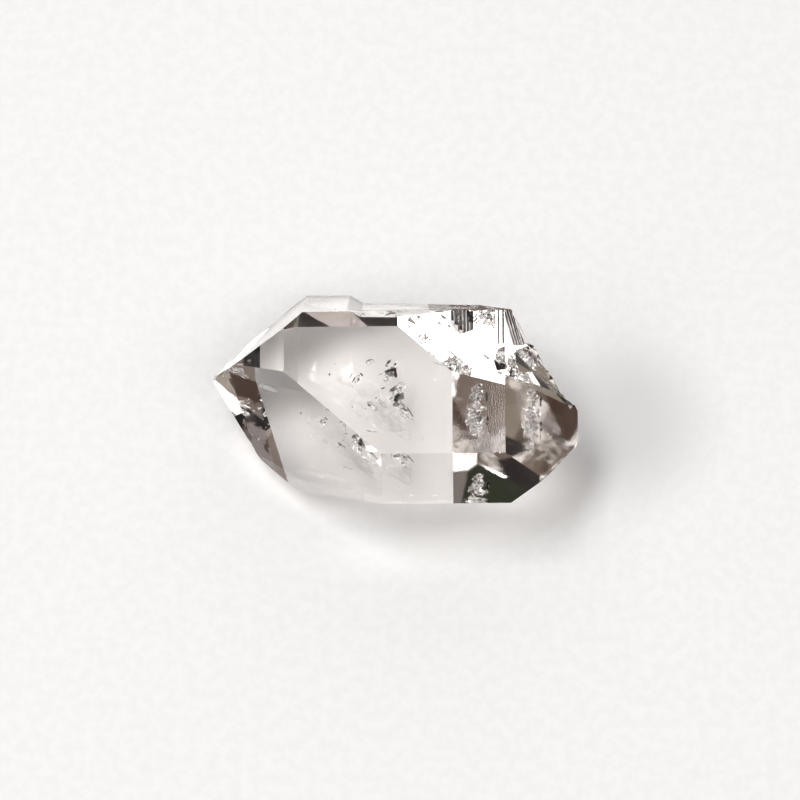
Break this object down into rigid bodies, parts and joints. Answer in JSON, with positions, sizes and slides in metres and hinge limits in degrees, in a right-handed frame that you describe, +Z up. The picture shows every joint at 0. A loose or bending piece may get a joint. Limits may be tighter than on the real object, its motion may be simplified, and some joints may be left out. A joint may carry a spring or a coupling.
{
  "type": "herkimer diamond",
  "caption": "Loose, clear, doubly terminated quartz crystal with flat faces, growth ledges and inner flaws, lying on a long flat prism face as a display mineral.",
  "frame": {"origin": "middle of the crystal's bounding box, on the flat prism face that it rests on", "axes": "+X along the crystal's length towards the blunt end, +Y towards the back, +Z up"},
  "size_m": [0.0296, 0.0194, 0.0126],
  "materials": {
    "quartz": "water-clear quartz with a very faint smoky tint, glassy flat faces and fine striations"
  },
  "bodies": {
    "root": {"crystal": "quartz"}
  },
  "joints": []
}
